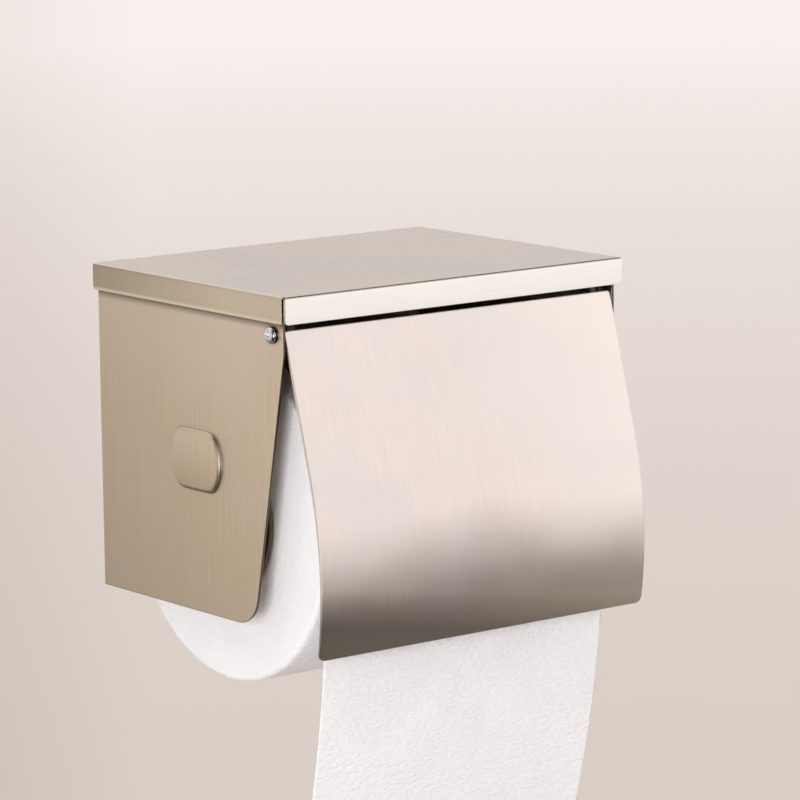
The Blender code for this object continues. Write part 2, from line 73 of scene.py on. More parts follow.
# Surroundings that the steel mirrors: colours by the height of the direction, from -1 down to 1 up
AHEAD = [
    (-1.0, (0.30, 0.27, 0.23)),
    (-0.62, (0.24, 0.21, 0.17)),
    (-0.50, (0.06, 0.050, 0.042)),
    (-0.36, (0.03, 0.025, 0.025)),
    (-0.27, (0.24, 0.22, 0.21)),
    (-0.16, (0.60, 0.57, 0.55)),
    (-0.04, (0.86, 0.83, 0.80)),
    (0.06, (1.06, 1.02, 1.00)),
    (0.20, (0.92, 0.91, 0.93)),
    (0.40, (1.17, 1.13, 1.08)),
    (0.60, (1.14, 1.10, 1.05)),
    (0.67, (0.06, 0.05, 0.04)),
    (0.84, (0.06, 0.05, 0.04)),
    (0.92, (0.70, 0.67, 0.64)),
    (1.0, (0.80, 0.77, 0.74)),
]
BEHIND = [
    (-1.0, (0.25, 0.21, 0.17)),
    (-0.60, (0.26, 0.21, 0.17)),
    (-0.30, (0.60, 0.53, 0.46)),
    (-0.10, (0.92, 0.85, 0.79)),
    (0.10, (0.74, 0.70, 0.68)),
    (0.30, (0.72, 0.68, 0.66)),
    (0.60, (1.05, 1.00, 0.96)),
    (1.0, (0.60, 0.57, 0.54)),
]
# How far towards the back (Y) the surroundings turn from AHEAD to BEHIND, and how the right lags
BEHIND_START = (-0.06, 0.28)
BEHIND_LAG = -0.28
BEHIND_LAG_ACROSS = (-0.2, 0.2)
# The left part of AHEAD is dimmed to this share between these two directions along X
LEFT_DIM = 0.16
LEFT_FADE = (-0.02, -0.30)
# A warm patch low on the right, which lightens the flap's lower right corner
LOW_RIGHT = (0.90, 0.80, 0.66)
LOW_RIGHT_ACROSS = (0.62, 0.72)
LOW_RIGHT_UP = (-0.24, -0.38)
# A small bright pane that glints in the rounded edges; its fade is in cosines of the angle off it
PANE_DIRECTION = (-0.73, -0.67, -0.10)
PANE_COLOUR = (2.7, 2.6, 2.5)
PANE_FADE = (0.94, 0.975)
# What the camera sees past the floor's edge in place of the surroundings
BACKDROP = (0.84, 0.80, 0.78)

# All lights point at this place, inside the holder
LIGHT_TARGET = (0, -0.06, 0)

# Brushed steel
STEEL_LIGHT = (0.84, 0.725, 0.585)
STEEL_DARK = (0.645, 0.54, 0.41)
LID_LIGHT = (0.83, 0.76, 0.69)
LID_DARK = (0.77, 0.70, 0.63)
# Painted light and shade: the front flange is painted brighter, the side flanges darker
LID_FRONT_LIGHT = (1.0, 0.97, 0.92)
LID_SIDE_SHADE = (0.61, 0.52, 0.39)
LID_SIDE_REAR_SHADE = (0.33, 0.265, 0.175)
LID_FACE_SHARE = 0.85
LID_FRONT_LEAN = 0.16
# Y where the sides' painted shade starts and is darkest; heights above their foot of a painted rim
# highlight
LID_SIDE_SHADE_FADE = (-0.07, 0.0)
LID_RIM_HIGHLIGHT = (1.3 * MM, 0.5 * MM)
FLAP_LIGHT = (0.975, 0.875, 0.81)
FLAP_DARK = (0.875, 0.777, 0.712)
# Painted light towards the flap's right side and painted shade in its lower left corner
FLAP_RIGHT_LIGHT = (1.0, 0.92, 0.86)
FLAP_CORNER_SHADE = (0.26, 0.24, 0.245)
# X where the painted light on the flap's right side starts and where it is full
FLAP_RIGHT_LIGHT_FADE = (0.0, 0.06)
# The way to the painted shade's corner, and the heights above the foot where it starts and is full
FLAP_CORNER_SHADE_WAY = (-0.15, 0, -1)
FLAP_CORNER_SHADE_RISE = (12 * MM, 1 * MM)
# How far the flap's normals tip upwards on its right side, and how much they ripple
FLAP_WARP = 0.035
FLAP_RIPPLE = 0.018
FLAP_RIPPLE_SCALE = (30, 30, 45)
# The ears are painted dark: painted shade for the shadow they sit in behind the flap
SHADED_EAR_LIGHT = (0.40, 0.34, 0.27)
SHADED_EAR_DARK = (0.32, 0.27, 0.21)
# Painted shade: a shadow band on the side panels under the lid, and on their front cut edges
UNDER_LID_SHADE = (0.17, 0.135, 0.10)
# The painted shadow band's start and full depth below the lid's foot; Y of the panels' front edges
UNDER_LID_SHADE_BAND = (-2.4 * MM, -0.2 * MM)
FRONT_EDGE_SHADE_FADE = (-0.063, -0.066)
# Paler steel along edges: wear, and painted highlights where edges catch the light
EDGE_WEAR_AND_HIGHLIGHT = (0.88, 0.82, 0.70)
# Painted shade in creases and hollows, by ambient occlusion
CREASE_SHADE = (0.16, 0.12, 0.09)
# The scratches' width and length; on the flap they are finer and shorter by these factors
GRAIN_WIDTH = 0.26 * MM
GRAIN_LENGTH = 28 * MM
FLAP_GRAIN_FINER = 1.2
FLAP_GRAIN_SHORTER = 2.5
BROAD_GRAIN = 4.0
FINE_SHARE = 0.8
BROAD_SHARE = 0.2
GRAIN_BUMP_STRENGTH = 0.06
GRAIN_BUMP_DEPTH = 0.03 * MM
CLOUD_TINT = (0.88, 0.91, 0.975)
CLOUD_SCALE = (26, 26, 34)
# Painted shade on the shell: darker towards the wall and downwards
REAR_SHADE_TINT = 0.62
REAR_SHADE_WAY = (0, 1, -0.6)
REAR_SHADE_FADE = (-0.09, 0.035)
# A face looks sideways or forwards when its normal's X or Y is past these
SIDEWAYS = 0.7
FORWARDS = -0.9
EDGE_ROUNDING = 0.16 * MM
LEAST_ROUNDING = 0.02 * MM

# Other CAD materials: their colours
CHROME = (0.86, 0.86, 0.87)
# Zinc painted dark: painted shade for the nuts and spacers under the lid
SHADED_ZINC = (0.34, 0.35, 0.37)
TUBE_CHROME = (0.80, 0.80, 0.81)
SPRING_STEEL = (0.58, 0.58, 0.59)
CAP_PLASTIC = (0.82, 0.81, 0.78)
# Board painted dark: painted shade that hides the core in the shadow by the side panel
SHADED_CORE_BOARD = (0.30, 0.25, 0.19)

# Paper
TISSUE_SHADED = (0.752, 0.758, 0.79)
TISSUE_BRIGHT = (0.787, 0.793, 0.825)
TISSUE_LAYER = (0.78, 0.765, 0.755)
# Painted shade on the loose sheet's thin cut edges
TISSUE_EDGE_SHADE = (0.55, 0.55, 0.56)
SHEET_THICKNESS = 0.25 * MM
SHEET_CLEARANCE = 0.15 * MM
SHEET_WRAP_START = math.radians(-60)
SHEET_CURL = 1.45
SHEET_GRID = 0.8 * MM
SHEET_TEAR = 0.35 * MM
# Below the roll the sheet waves and flutters, more and more down to these depths
SHEET_WAVE = 0.4 * MM
SHEET_WAVE_DEPTH = 90 * MM
SHEET_FLUTTER = 0.12 * MM
SHEET_FLUTTER_DEPTH = 30 * MM
SHEET_EDGE_FADE = 40 * MM
DIMPLE_PITCH = 3.0 * MM
DIMPLE_RADIUS = 0.85 * MM
DIMPLE_DEPTH = 0.15 * MM
# How closely the sheet follows the roll's soft ends
EDGE_FOLLOW = 0.7
ROLL_SOFT_EDGE = 1.6 * MM
ROLL_STEPS = 180
ROLL_EDGE_STEPS = 8
ROLL_FACE_STEPS = 22
ROLL_TOP_STEPS = 46
# The roll's ends swell and ripple by these depths, which fade near its bore and outside
ROLL_SWELL = 0.22 * MM
ROLL_FINE_SWELL = 0.10 * MM
ROLL_RIPPLE = 0.05 * MM
ROLL_UNEVEN_FADE = 4 * MM
BORE_CLEARANCE = 0.3 * MM
END_CLEARANCE = 0.3 * MM

# Spring
SPRING_WIRE = 0.35 * MM
SPRING_TURNS = 12
SPRING_STEPS = 28
SPRING_SIDES = 10


# Node helpers


def add_node(tree, kind, inputs=None, **settings):
    """Adds a shader node. An input is given a value, or a socket to be linked from."""
    made = tree.nodes.new("ShaderNode" + kind)
    for name, value in settings.items():
        setattr(made, name, value)
    for name, value in (inputs or {}).items():
        if isinstance(value, bpy.types.NodeSocket):
            tree.links.new(value, made.inputs[name])
        else:
            made.inputs[name].default_value = value
    return made


def new_material(name, **values):
    """A material with a Principled BSDF whose constant values are set on its own sockets."""
    material = bpy.data.materials.new(name)
    material.use_nodes = True
    tree = material.node_tree
    shader = tree.nodes["Principled BSDF"]
    for socket, value in values.items():
        shader.inputs[socket.replace("_", " ")].default_value = value
    return material, tree, shader


def maths(tree, operation, first, second=0.0, third=0.0):
    made = add_node(tree, "Math", {0: first, 1: second, 2: third}, operation=operation)
    return made.outputs[0]


def product(tree, first, second):
    return maths(tree, "MULTIPLY", first, second)


def axis_of(tree, vector, axis):
    """One coordinate of a vector."""
    return add_node(tree, "SeparateXYZ", {0: vector}).outputs[axis]


def vector_maths(tree, operation, first, second):
    """A sum, difference, product or dot product of two vectors."""
    made = add_node(tree, "VectorMath", {0: first, 1: second}, operation=operation)
    return made.outputs["Value" if operation == "DOT_PRODUCT" else "Vector"]


def length_of(tree, vector):
    return add_node(tree, "VectorMath", {0: vector}, operation="LENGTH").outputs["Value"]


def object_place(tree):
    """The place on the piece, in metres and in the frame's axes."""
    return add_node(tree, "TexCoord").outputs["Object"]


def face_normal(tree):
    return add_node(tree, "NewGeometry").outputs["Normal"]


def spread(tree, value, low, high, to_low=0.0, to_high=1.0):
    """Maps a value from one range to another and clamps it."""
    inputs = {
        "Value": value,
        "From Min": low,
        "From Max": high,
        "To Min": to_low,
        "To Max": to_high,
    }
    return add_node(tree, "MapRange", inputs).outputs["Result"]


def mix(tree, kind, factor, first, second):
    """A mix node of one data type, with its factor and both sides given or linked."""
    mixer = add_node(tree, "Mix", data_type=kind)
    sockets = {"RGBA": (6, 7, 2), "VECTOR": (4, 5, 1)}[kind]
    for index, value in ((0, factor), (sockets[0], first), (sockets[1], second)):
        if isinstance(value, bpy.types.NodeSocket):
            tree.links.new(value, mixer.inputs[index])
        elif index and kind == "RGBA":
            mixer.inputs[index].default_value = (*value, 1.0)
        else:
            mixer.inputs[index].default_value = value
    return mixer.outputs[sockets[2]]


def mix_colours(tree, factor, first, second):
    return mix(tree, "RGBA", factor, first, second)


def mix_vectors(tree, factor, first, second):
    return mix(tree, "VECTOR", factor, first, second)


def ramp(tree, value, stops):
    """A colour that follows a value from -1 to 1 through the given stops."""
    shifted = maths(tree, "MULTIPLY_ADD", value, 0.5, third=0.5)
    made = add_node(tree, "ValToRGB", {"Fac": shifted})
    elements = made.color_ramp.elements
    while len(elements) < len(stops):
        elements.new(0.5)
    for element, (position, colour) in zip(elements, stops):
        element.position = 0.5 * position + 0.5
        element.color = (*colour, 1.0)
    return made.outputs["Color"]


def scaled(tree, vector, scale):
    return add_node(tree, "Mapping", {"Vector": vector, "Scale": scale}).outputs["Vector"]


def noise_value(tree, vector, detail=2.0, roughness=0.5):
    inputs = {"Vector": vector, "Scale": 1.0, "Detail": detail, "Roughness": roughness}
    return add_node(tree, "TexNoise", inputs).outputs["Fac"]


def tinted(colour, tint):
    """A colour times a number, or times another colour."""
    shares = tint if isinstance(tint, tuple) else (tint,) * 3
    return tuple(value * share for value, share in zip(colour, shares))


# Brushed steel


def grain_noise(tree, place, grain, on_side, size, detail):
    """Scratches of one size, in the direction that each face's grain runs."""
    across, along = 1 / GRAIN_WIDTH, 1 / GRAIN_LENGTH
    upright = (across, across, along)
    if grain == "flap":
        short = FLAP_GRAIN_SHORTER * along
        upright = (FLAP_GRAIN_FINER * across, short, short)
    upright = scaled(tree, place, tuple(value / size for value in upright))
    if grain != "lid":
        return noise_value(tree, upright, detail)
    level = scaled(tree, place, tuple(value / size for value in (along, across, across)))
    return noise_value(tree, mix_vectors(tree, on_side, level, upright), detail)


def lid_faces(tree):
    """Masks of the lid's side flanges and of its front flange."""
    normal = add_node(tree, "SeparateXYZ", {0: face_normal(tree)})
    sideways = maths(tree, "ABSOLUTE", normal.outputs["X"])
    on_side = maths(tree, "GREATER_THAN", sideways, SIDEWAYS)
    on_front = maths(tree, "LESS_THAN", normal.outputs["Y"], FORWARDS)
    return on_side, on_front


def lid_painted_light(tree, colour, place, on_side, on_front):
    """Painted light on the front flange, painted shade on the sides and a painted rim highlight.
    """
    colour = mix_colours(tree, product(tree, on_front, LID_FACE_SHARE), colour, LID_FRONT_LIGHT)
    side_rear_shade = spread(tree, axis_of(tree, place, "Y"), *LID_SIDE_SHADE_FADE)
    side = mix_colours(tree, side_rear_shade, LID_SIDE_SHADE, LID_SIDE_REAR_SHADE)
    colour = mix_colours(tree, product(tree, on_side, LID_FACE_SHARE), colour, side)
    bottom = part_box("lid")[0].z
    height = axis_of(tree, place, "Z")
    rim_highlight = spread(tree, height, bottom + LID_RIM_HIGHLIGHT[0], bottom + LID_RIM_HIGHLIGHT[1], 0.0, 0.6)
    return mix_colours(tree, product(tree, on_side, rim_highlight), colour, EDGE_WEAR_AND_HIGHLIGHT)


def crease_shade_and_edge_wear(tree, colour, rounded, flat, crease):
    """Painted shade in the creases; paler edges for wear and painted highlights."""
    open_sky = add_node(tree, "AmbientOcclusion", {"Distance": crease}, samples=6).outputs["AO"]
    colour = mix_colours(tree, spread(tree, open_sky, 0.40, 0.85), CREASE_SHADE, colour)
    agreement = vector_maths(tree, "DOT_PRODUCT", rounded, flat)
    wear_and_highlight = spread(tree, agreement, 0.995, 0.92, 0.0, 0.8)
    return mix_colours(tree, wear_and_highlight, colour, EDGE_WEAR_AND_HIGHLIGHT)


def flap_painted_light(tree, colour, place):
    """Painted light towards the flap's right side, painted shade at its lower left corner."""
    right = spread(tree, axis_of(tree, place, "X"), *FLAP_RIGHT_LIGHT_FADE, 0.0, 0.8)
    colour = mix_colours(tree, right, colour, FLAP_RIGHT_LIGHT)
    foot = -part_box("front_flap")[0].z
    low_left = vector_maths(tree, "DOT_PRODUCT", place, FLAP_CORNER_SHADE_WAY)
    start, full = FLAP_CORNER_SHADE_RISE
    corner_shade = spread(tree, low_left, foot - start, foot - full, 0.0, 0.75)
    return mix_colours(tree, corner_shade, colour, FLAP_CORNER_SHADE)


def shell_painted_shade(tree, colour, place, flat, dark):
    """Painted shade: darker to the wall and down, a band under the lid, and dark front edges."""
    inwards = vector_maths(tree, "DOT_PRODUCT", place, REAR_SHADE_WAY)
    rear_shade = spread(tree, inwards, *REAR_SHADE_FADE, 0.0, 0.66)
    colour = mix_colours(tree, rear_shade, colour, tinted(dark, REAR_SHADE_TINT))
    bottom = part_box("lid")[0].z
    height = axis_of(tree, place, "Z")
    start, full = UNDER_LID_SHADE_BAND
    under_lid_shade = spread(tree, height, bottom + start, bottom + full, 0.0, 0.9)
    sideways = maths(tree, "ABSOLUTE", axis_of(tree, flat, "X"))
    under_lid_shade = product(tree, under_lid_shade, maths(tree, "GREATER_THAN", sideways, SIDEWAYS))
    colour = mix_colours(tree, under_lid_shade, colour, UNDER_LID_SHADE)
    forwards = spread(tree, axis_of(tree, flat, "Y"), -0.35, -0.8)
    at_front = spread(tree, axis_of(tree, place, "Y"), *FRONT_EDGE_SHADE_FADE)
    return mix_colours(tree, product(tree, forwards, at_front), colour, UNDER_LID_SHADE)


def flap_lean(tree, place, warp):
    """The flap isn't quite true: its normals tip upwards on the right and ripple a little."""
    slope = spread(tree, axis_of(tree, place, "X"), 0.01, 0.06, 0, warp)
    ripple = noise_value(tree, scaled(tree, place, FLAP_RIPPLE_SCALE), 1.0)
    ripple = spread(tree, ripple, 0.3, 0.7, -FLAP_RIPPLE, FLAP_RIPPLE)
    return maths(tree, "ADD", slope, ripple)


def leaned(tree, normal, slope):
    """A normal tipped upwards by a slope."""
    lean = add_node(tree, "CombineXYZ", {2: slope}).outputs[0]
    return vector_maths(tree, "ADD", normal, lean)


def brushed_steel(
    name,
    light,
    dark,
    roughness,
    anisotropy,
    grain="vertical",
    stretch=(1, 1, 0),
    warp=0.0,
    crease=4 * MM,
):
    """Steel with fine scratches in one direction. Its highlights stretch across them.

    The grain is "vertical", "flap" (shorter and finer) or "lid" (level on its top and front). The
    stretch is the surface's tangent. A warp tips the normals upwards on the right.
    """
    material, tree, shader = new_material(name, Metallic=1.0, Anisotropic=anisotropy)
    place = object_place(tree)
    on_side, on_front = lid_faces(tree) if grain == "lid" else (None, None)
    if grain == "lid":
        tangent = mix_vectors(tree, on_side, (0, 1, 1), (0, 1, 0))
    else:
        tangent = add_node(tree, "CombineXYZ", dict(enumerate(stretch))).outputs[0]
    fine = grain_noise(tree, place, grain, on_side, 1.0, 3.0)
    broad = grain_noise(tree, place, grain, on_side, BROAD_GRAIN, 1.0)
    clouds = noise_value(tree, scaled(tree, place, CLOUD_SCALE), 2.0)

    broad = product(tree, broad, BROAD_SHARE)
    streaks = maths(tree, "ADD", product(tree, fine, FINE_SHARE), broad)
    colour = mix_colours(tree, spread(tree, streaks, 0.32, 0.68), dark, light)
    haze = spread(tree, clouds, 0.42, 0.66, 0.0, 0.7)
    colour = mix_colours(tree, haze, colour, tinted(light, CLOUD_TINT))
    # Painted light and shade are mixed into the colour below
    if grain == "lid":
        colour = lid_painted_light(tree, colour, place, on_side, on_front)
    edge = 0.3 * MM if grain == "lid" else 0.5 * MM
    rounded = add_node(tree, "Bevel", {"Radius": edge}, samples=4).outputs["Normal"]
    flat = face_normal(tree)
    colour = crease_shade_and_edge_wear(tree, colour, rounded, flat, crease)
    if grain == "flap":
        colour = flap_painted_light(tree, colour, place)
    if grain == "vertical":
        colour = shell_painted_shade(tree, colour, place, flat, dark)
    tree.links.new(colour, shader.inputs["Base Color"])

    uneven = 0.015 if grain == "flap" else 0.05
    gloss = spread(tree, streaks, 0.3, 0.7, roughness - uneven, roughness + uneven)
    tree.links.new(gloss, shader.inputs["Roughness"])
    if grain == "lid":
        rounded = leaned(tree, rounded, product(tree, on_front, LID_FRONT_LEAN))
    if warp:
        rounded = leaned(tree, rounded, flap_lean(tree, place, warp))
    bump = {"Height": streaks, "Strength": GRAIN_BUMP_STRENGTH, "Distance": GRAIN_BUMP_DEPTH}
    bump["Normal"] = rounded
    tree.links.new(add_node(tree, "Bump", bump).outputs["Normal"], shader.inputs["Normal"])
    tree.links.new(tangent, shader.inputs["Tangent"])
    return material


# Other materials


def link_bump(tree, shader, height, strength, distance):
    inputs = {"Height": height, "Strength": strength, "Distance": distance}
    tree.links.new(add_node(tree, "Bump", inputs).outputs["Normal"], shader.inputs["Normal"])


def bright_metal(name, colour, roughness, fleck=900):
    """Plated metal with faint turning marks and small differences in gloss."""
    material, tree, shader = new_material(name, Metallic=1.0)
    marks = noise_value(tree, scaled(tree, object_place(tree), (fleck * 3, fleck, fleck)), 3.0)
    shades = mix_colours(tree, spread(tree, marks, 0.35, 0.65), tinted(colour, 0.86), colour)
    tree.links.new(shades, shader.inputs["Base Color"])
    uneven = spread(tree, marks, 0.3, 0.7, roughness * 0.7, roughness * 1.4)
    tree.links.new(uneven, shader.inputs["Roughness"])
    link_bump(tree, shader, marks, 0.08, 0.02 * MM)
    return material


def moulded_plastic(name, colour):
    """White plastic with a fine spark-eroded grain."""
    material, tree, shader = new_material(name, Specular_IOR_Level=0.45)
    place = object_place(tree)
    speckle = noise_value(tree, scaled(tree, place, (2600, 2600, 2600)), 2.0)
    shade = noise_value(tree, scaled(tree, place, (160, 160, 160)), 2.0)
    shades = mix_colours(tree, shade, tinted(colour, 0.92), colour)
    tree.links.new(shades, shader.inputs["Base Color"])
    tree.links.new(spread(tree, speckle, 0.3, 0.7, 0.38, 0.52), shader.inputs["Roughness"])
    link_bump(tree, shader, speckle, 0.2, 0.05 * MM)
    return material


def wound_board(name, colour):
    """Grey-brown cardboard with long fibres and lighter patches."""
    material, tree, shader = new_material(name, Roughness=0.92, Specular_IOR_Level=0.2)
    place = object_place(tree)
    fibres = noise_value(tree, scaled(tree, place, (260, 1800, 1800)), 4.0)
    patches = noise_value(tree, scaled(tree, place, (90, 90, 90)), 2.0)
    board = mix_colours(tree, spread(tree, fibres, 0.3, 0.7), tinted(colour, 0.72), colour)
    lighter = spread(tree, patches, 0.3, 0.7, 0.0, 0.3)
    board = mix_colours(tree, lighter, board, tinted(colour, 1.15))
    tree.links.new(board, shader.inputs["Base Color"])
    link_bump(tree, shader, fibres, 0.4, 0.1 * MM)
    return material


def distance_from_axle(tree, place, centre):
    """How far a place is from the roll's axis."""
    apart = vector_maths(tree, "SUBTRACT", place, centre)
    return length_of(tree, vector_maths(tree, "MULTIPLY", apart, (0, 1, 1)))


def tissue(name, centre, outer):
    """Soft white tissue: fine crepe and loose fibre.

    On the roll's ends its layers show as faint rings. Outside the roll's radius, the same faces
    are the loose sheet's thin cut edges, which get painted shade.
    """
    values = {"Roughness": 0.95, "Specular_IOR_Level": 0.12}
    values |= {"Sheen_Weight": 0.08, "Sheen_Roughness": 0.6}
    values |= {"Subsurface_Weight": 0.2, "Subsurface_Scale": 0.002}
    values |= {"Subsurface_Radius": (1.0, 0.96, 0.93)}
    material, tree, shader = new_material(name, **values)
    place = object_place(tree)
    fibres = noise_value(tree, scaled(tree, place, (1500, 1100, 1100)), 4.0, 0.6)
    crepe = noise_value(tree, scaled(tree, place, (440, 800, 1000)), 1.0)
    emboss = spread(tree, crepe, 0.45, 0.60)
    mottle = noise_value(tree, scaled(tree, place, (70, 70, 70)), 3.0)

    radius = distance_from_axle(tree, place, centre)
    wander = product(tree, mottle, 0.0012)
    ring_place = add_node(tree, "CombineXYZ", {0: maths(tree, "ADD", radius, wander)}).outputs[0]
    rings = noise_value(tree, scaled(tree, ring_place, (1700, 1, 1)), 2.0)
    sideways = maths(tree, "ABSOLUTE", axis_of(tree, face_normal(tree), "X"))
    on_end = spread(tree, sideways, 0.75, 0.95)
    layers = product(tree, rings, on_end)

    colour = mix_colours(tree, spread(tree, mottle, 0.3, 0.7), TISSUE_SHADED, TISSUE_BRIGHT)
    colour = mix_colours(tree, spread(tree, layers, 0.45, 0.7, 0.0, 0.15), colour, TISSUE_LAYER)
    # Painted shade on the loose sheet's cut edges
    outside = spread(tree, radius, outer - 0.1 * MM, outer + 0.2 * MM, 0.0, 0.9)
    colour = mix_colours(tree, product(tree, on_end, outside), colour, TISSUE_EDGE_SHADE)
    tree.links.new(colour, shader.inputs["Base Color"])
    height = maths(tree, "ADD", product(tree, fibres, 0.3), product(tree, layers, 0.3))
    off_end = maths(tree, "MULTIPLY_ADD", on_end, -0.6, 1.0)
    height = maths(tree, "MULTIPLY_ADD", emboss, off_end, height)
    link_bump(tree, shader, height, 0.6, 0.2 * MM)
    return material


# CAD nodes


def finish_node(name, material, rounding=LEAST_ROUNDING):
    """Gives a CAD node its material, smooth shading and slightly rounded edges."""
    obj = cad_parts[name]
    if not obj.data.materials:
        obj.data.materials.append(material)
    for index in range(len(obj.data.materials)):
        obj.data.materials[index] = material
    if "custom_normal" in obj.data.attributes:
        obj.data.attributes.remove(obj.data.attributes["custom_normal"])
    obj.data.shade_smooth()
    weld = obj.modifiers.new("weld", "WELD")
    weld.merge_threshold = 0.001 * MM
    bevel = obj.modifiers.new("rounded_edges", "BEVEL")
    bevel.width = rounding
    bevel.segments = 1 if rounding == LEAST_ROUNDING else 2
    bevel.limit_method = "ANGLE"
    bevel.angle_limit = math.radians(35)
    bevel.harden_normals = True


def finish_nodes():
    steel = brushed_steel("shell_steel", STEEL_LIGHT, STEEL_DARK, 0.32, 0.7)
    finish_node("body_shell", steel, EDGE_ROUNDING)
    lid = brushed_steel("lid_steel", LID_LIGHT, LID_DARK, 0.27, 0.7, "lid", crease=1.5 * MM)
    finish_node("lid", lid, EDGE_ROUNDING)
    flap = brushed_steel(
        "flap_steel", FLAP_LIGHT, FLAP_DARK, 0.31, 0.85, "flap", (1, 0.3, 0), warp=FLAP_WARP
    )
    finish_node("front_flap", flap, EDGE_ROUNDING)
    chrome = bright_metal("screw_chrome", CHROME, 0.13)
    # The nuts' and spacers' zinc is painted dark: painted shade
    shaded_zinc = bright_metal("shaded_zinc_plate", SHADED_ZINC, 0.4)
    # The ears' steel is painted dark: painted shade
    ear = brushed_steel("shaded_ear_steel", SHADED_EAR_LIGHT, SHADED_EAR_DARK, 0.40, 0.5)
    tube = bright_metal("spindle_chrome", TUBE_CHROME, 0.18, fleck=500)
    cap = moulded_plastic("cap_plastic", CAP_PLASTIC)
    for side in ("left", "right"):
        finish_node(f"flap_ear_{side}", ear, EDGE_ROUNDING)
        finish_node(f"hinge_screw_{side}", chrome)
        finish_node(f"hinge_spacer_{side}", shaded_zinc)
        finish_node(f"hinge_nut_{side}", shaded_zinc)
        finish_node(f"spindle_cap_{side}", cap)
    finish_node("spindle_outer_tube", tube)
    finish_node("spindle_inner_tube", tube)
    # The core's board is painted dark: painted shade
    finish_node("roll_core", wound_board("shaded_core_board", SHADED_CORE_BOARD))


# New meshes


def mesh_object(name, bm, material):
    mesh = bpy.data.meshes.new(name)
    bm.to_mesh(mesh)
    bm.free()
    mesh.shade_smooth()
    mesh.materials.append(material)
    obj = bpy.data.objects.new(name, mesh)
    bpy.context.scene.collection.objects.link(obj)
    return obj


def bridge(bm, first, second):
    """Faces between two closed rings of the same number of points."""
    for index, vert in enumerate(first):
        after = (index + 1) % len(first)
        bm.faces.new((vert, first[after], second[after], second[index]))


def make_spring(material):
    """The spindle's spring as a coil of its own, because it shortens with the spindle."""
    low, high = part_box("spindle_spring")
    middle = (low + high) / 2
    radius = (high.z - low.z) / 2 - SPRING_WIRE
    start = low.x + SPRING_WIRE
    length = high.x - SPRING_WIRE - start
    count = SPRING_TURNS * SPRING_STEPS
    bm = bmesh.new()
    rings = []
    for step in range(count + 1):
        turn = 2 * math.pi * step / SPRING_STEPS
        outwards = Vector((0, math.cos(turn), math.sin(turn)))
        centre = Vector((start + length * step / count, middle.y, middle.z)) + outwards * radius
        ring = []
        for side in range(SPRING_SIDES):
            angle = 2 * math.pi * side / SPRING_SIDES
            aside = Vector((math.sin(angle), 0, 0)) + outwards * math.cos(angle)
            ring.append(bm.verts.new(centre + aside * SPRING_WIRE))
        rings.append(ring)
    for first, second in zip(rings, rings[1:]):
        bridge(bm, first, second)
    bm.faces.new(rings[0])
    bm.faces.new(rings[-1])
    bmesh.ops.recalc_face_normals(bm, faces=bm.faces)
    spring = mesh_object("coil_spring", bm, material)
    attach(spring, "holder")
    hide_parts("spindle_spring")
    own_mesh(spring)


# Paper


def roll_shape():
    """The roll's centre, radius, half width and bore radius, read from the CAD."""
    low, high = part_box("paper_roll")
    core_low, core_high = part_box("roll_core")
    bore = (core_high.z - core_low.z) / 2 + BORE_CLEARANCE
    return (low + high) / 2, (high.z - low.z) / 2, (high.x - low.x) / 2, bore


def edge_drop(x, half_width):
    """How far the paper's surface falls away near the roll's ends, at x."""
    into = max(abs(x) - (half_width - ROLL_SOFT_EDGE), 0) / ROLL_SOFT_EDGE
    return ROLL_SOFT_EDGE * (1 - math.sqrt(max(1 - min(into, 1) ** 2, 0)))


def roll_profile(radius, half_width, bore):
    """A closed line of (x, radius) round the section of the roll, from its bore outwards."""
    end = []
    for index in range(ROLL_FACE_STEPS):
        rise = (radius - ROLL_SOFT_EDGE - bore) * index / ROLL_FACE_STEPS
        end.append((half_width, bore + rise))
    for index in range(ROLL_EDGE_STEPS + 1):
        angle = math.pi / 2 * index / ROLL_EDGE_STEPS
        x = half_width - ROLL_SOFT_EDGE * (1 - math.cos(angle))
        end.append((x, radius - ROLL_SOFT_EDGE * (1 - math.sin(angle))))
    flat = half_width - ROLL_SOFT_EDGE
    steps = range(1, ROLL_TOP_STEPS)
    top = [(flat - 2 * flat * index / ROLL_TOP_STEPS, radius) for index in steps]
    return end + top + [(-x, r) for x, r in reversed(end)]


def uneven_roll_point(x, r, angle, radius, bore):
    """A point of the roll's profile, moved a little as wound paper is: its place along X and r."""
    spot = Vector((x, r * math.cos(angle), r * math.sin(angle)))
    inside = min((radius - r) / ROLL_UNEVEN_FADE, (r - bore) / ROLL_UNEVEN_FADE, 1)
    swell = ROLL_SWELL * noise.noise(spot * 60) + ROLL_FINE_SWELL * noise.noise(spot * 260)
    ripple = ROLL_RIPPLE * noise.noise(Vector((r * 900, x, 0)))
    side = math.copysign(1, x)
    x += side * (swell + ripple) * max(inside, 0) - math.copysign(END_CLEARANCE, x)
    if r > radius - ROLL_SOFT_EDGE:
        r -= abs(swell) * 0.6
    return x, r


def make_roll(material):
    """The wound roll, with slightly uneven ends and surface."""
    centre, radius, half_width, bore = roll_shape()
    profile = roll_profile(radius, half_width, bore)
    bm = bmesh.new()
    rings = []
    for step in range(ROLL_STEPS):
        angle = 2 * math.pi * step / ROLL_STEPS
        ring = []
        for profile_x, profile_r in profile:
            x, r = uneven_roll_point(profile_x, profile_r, angle, radius, bore)
            offset = Vector((x, r * math.cos(angle), r * math.sin(angle)))
            ring.append(bm.verts.new(centre + offset))
        rings.append(ring)
    for first, second in zip(rings, rings[1:] + rings[:1]):
        bridge(bm, first, second)
    bmesh.ops.recalc_face_normals(bm, faces=bm.faces)
    roll = mesh_object("wound_roll", bm, material)
    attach(roll, "roll")
    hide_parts("paper_roll")


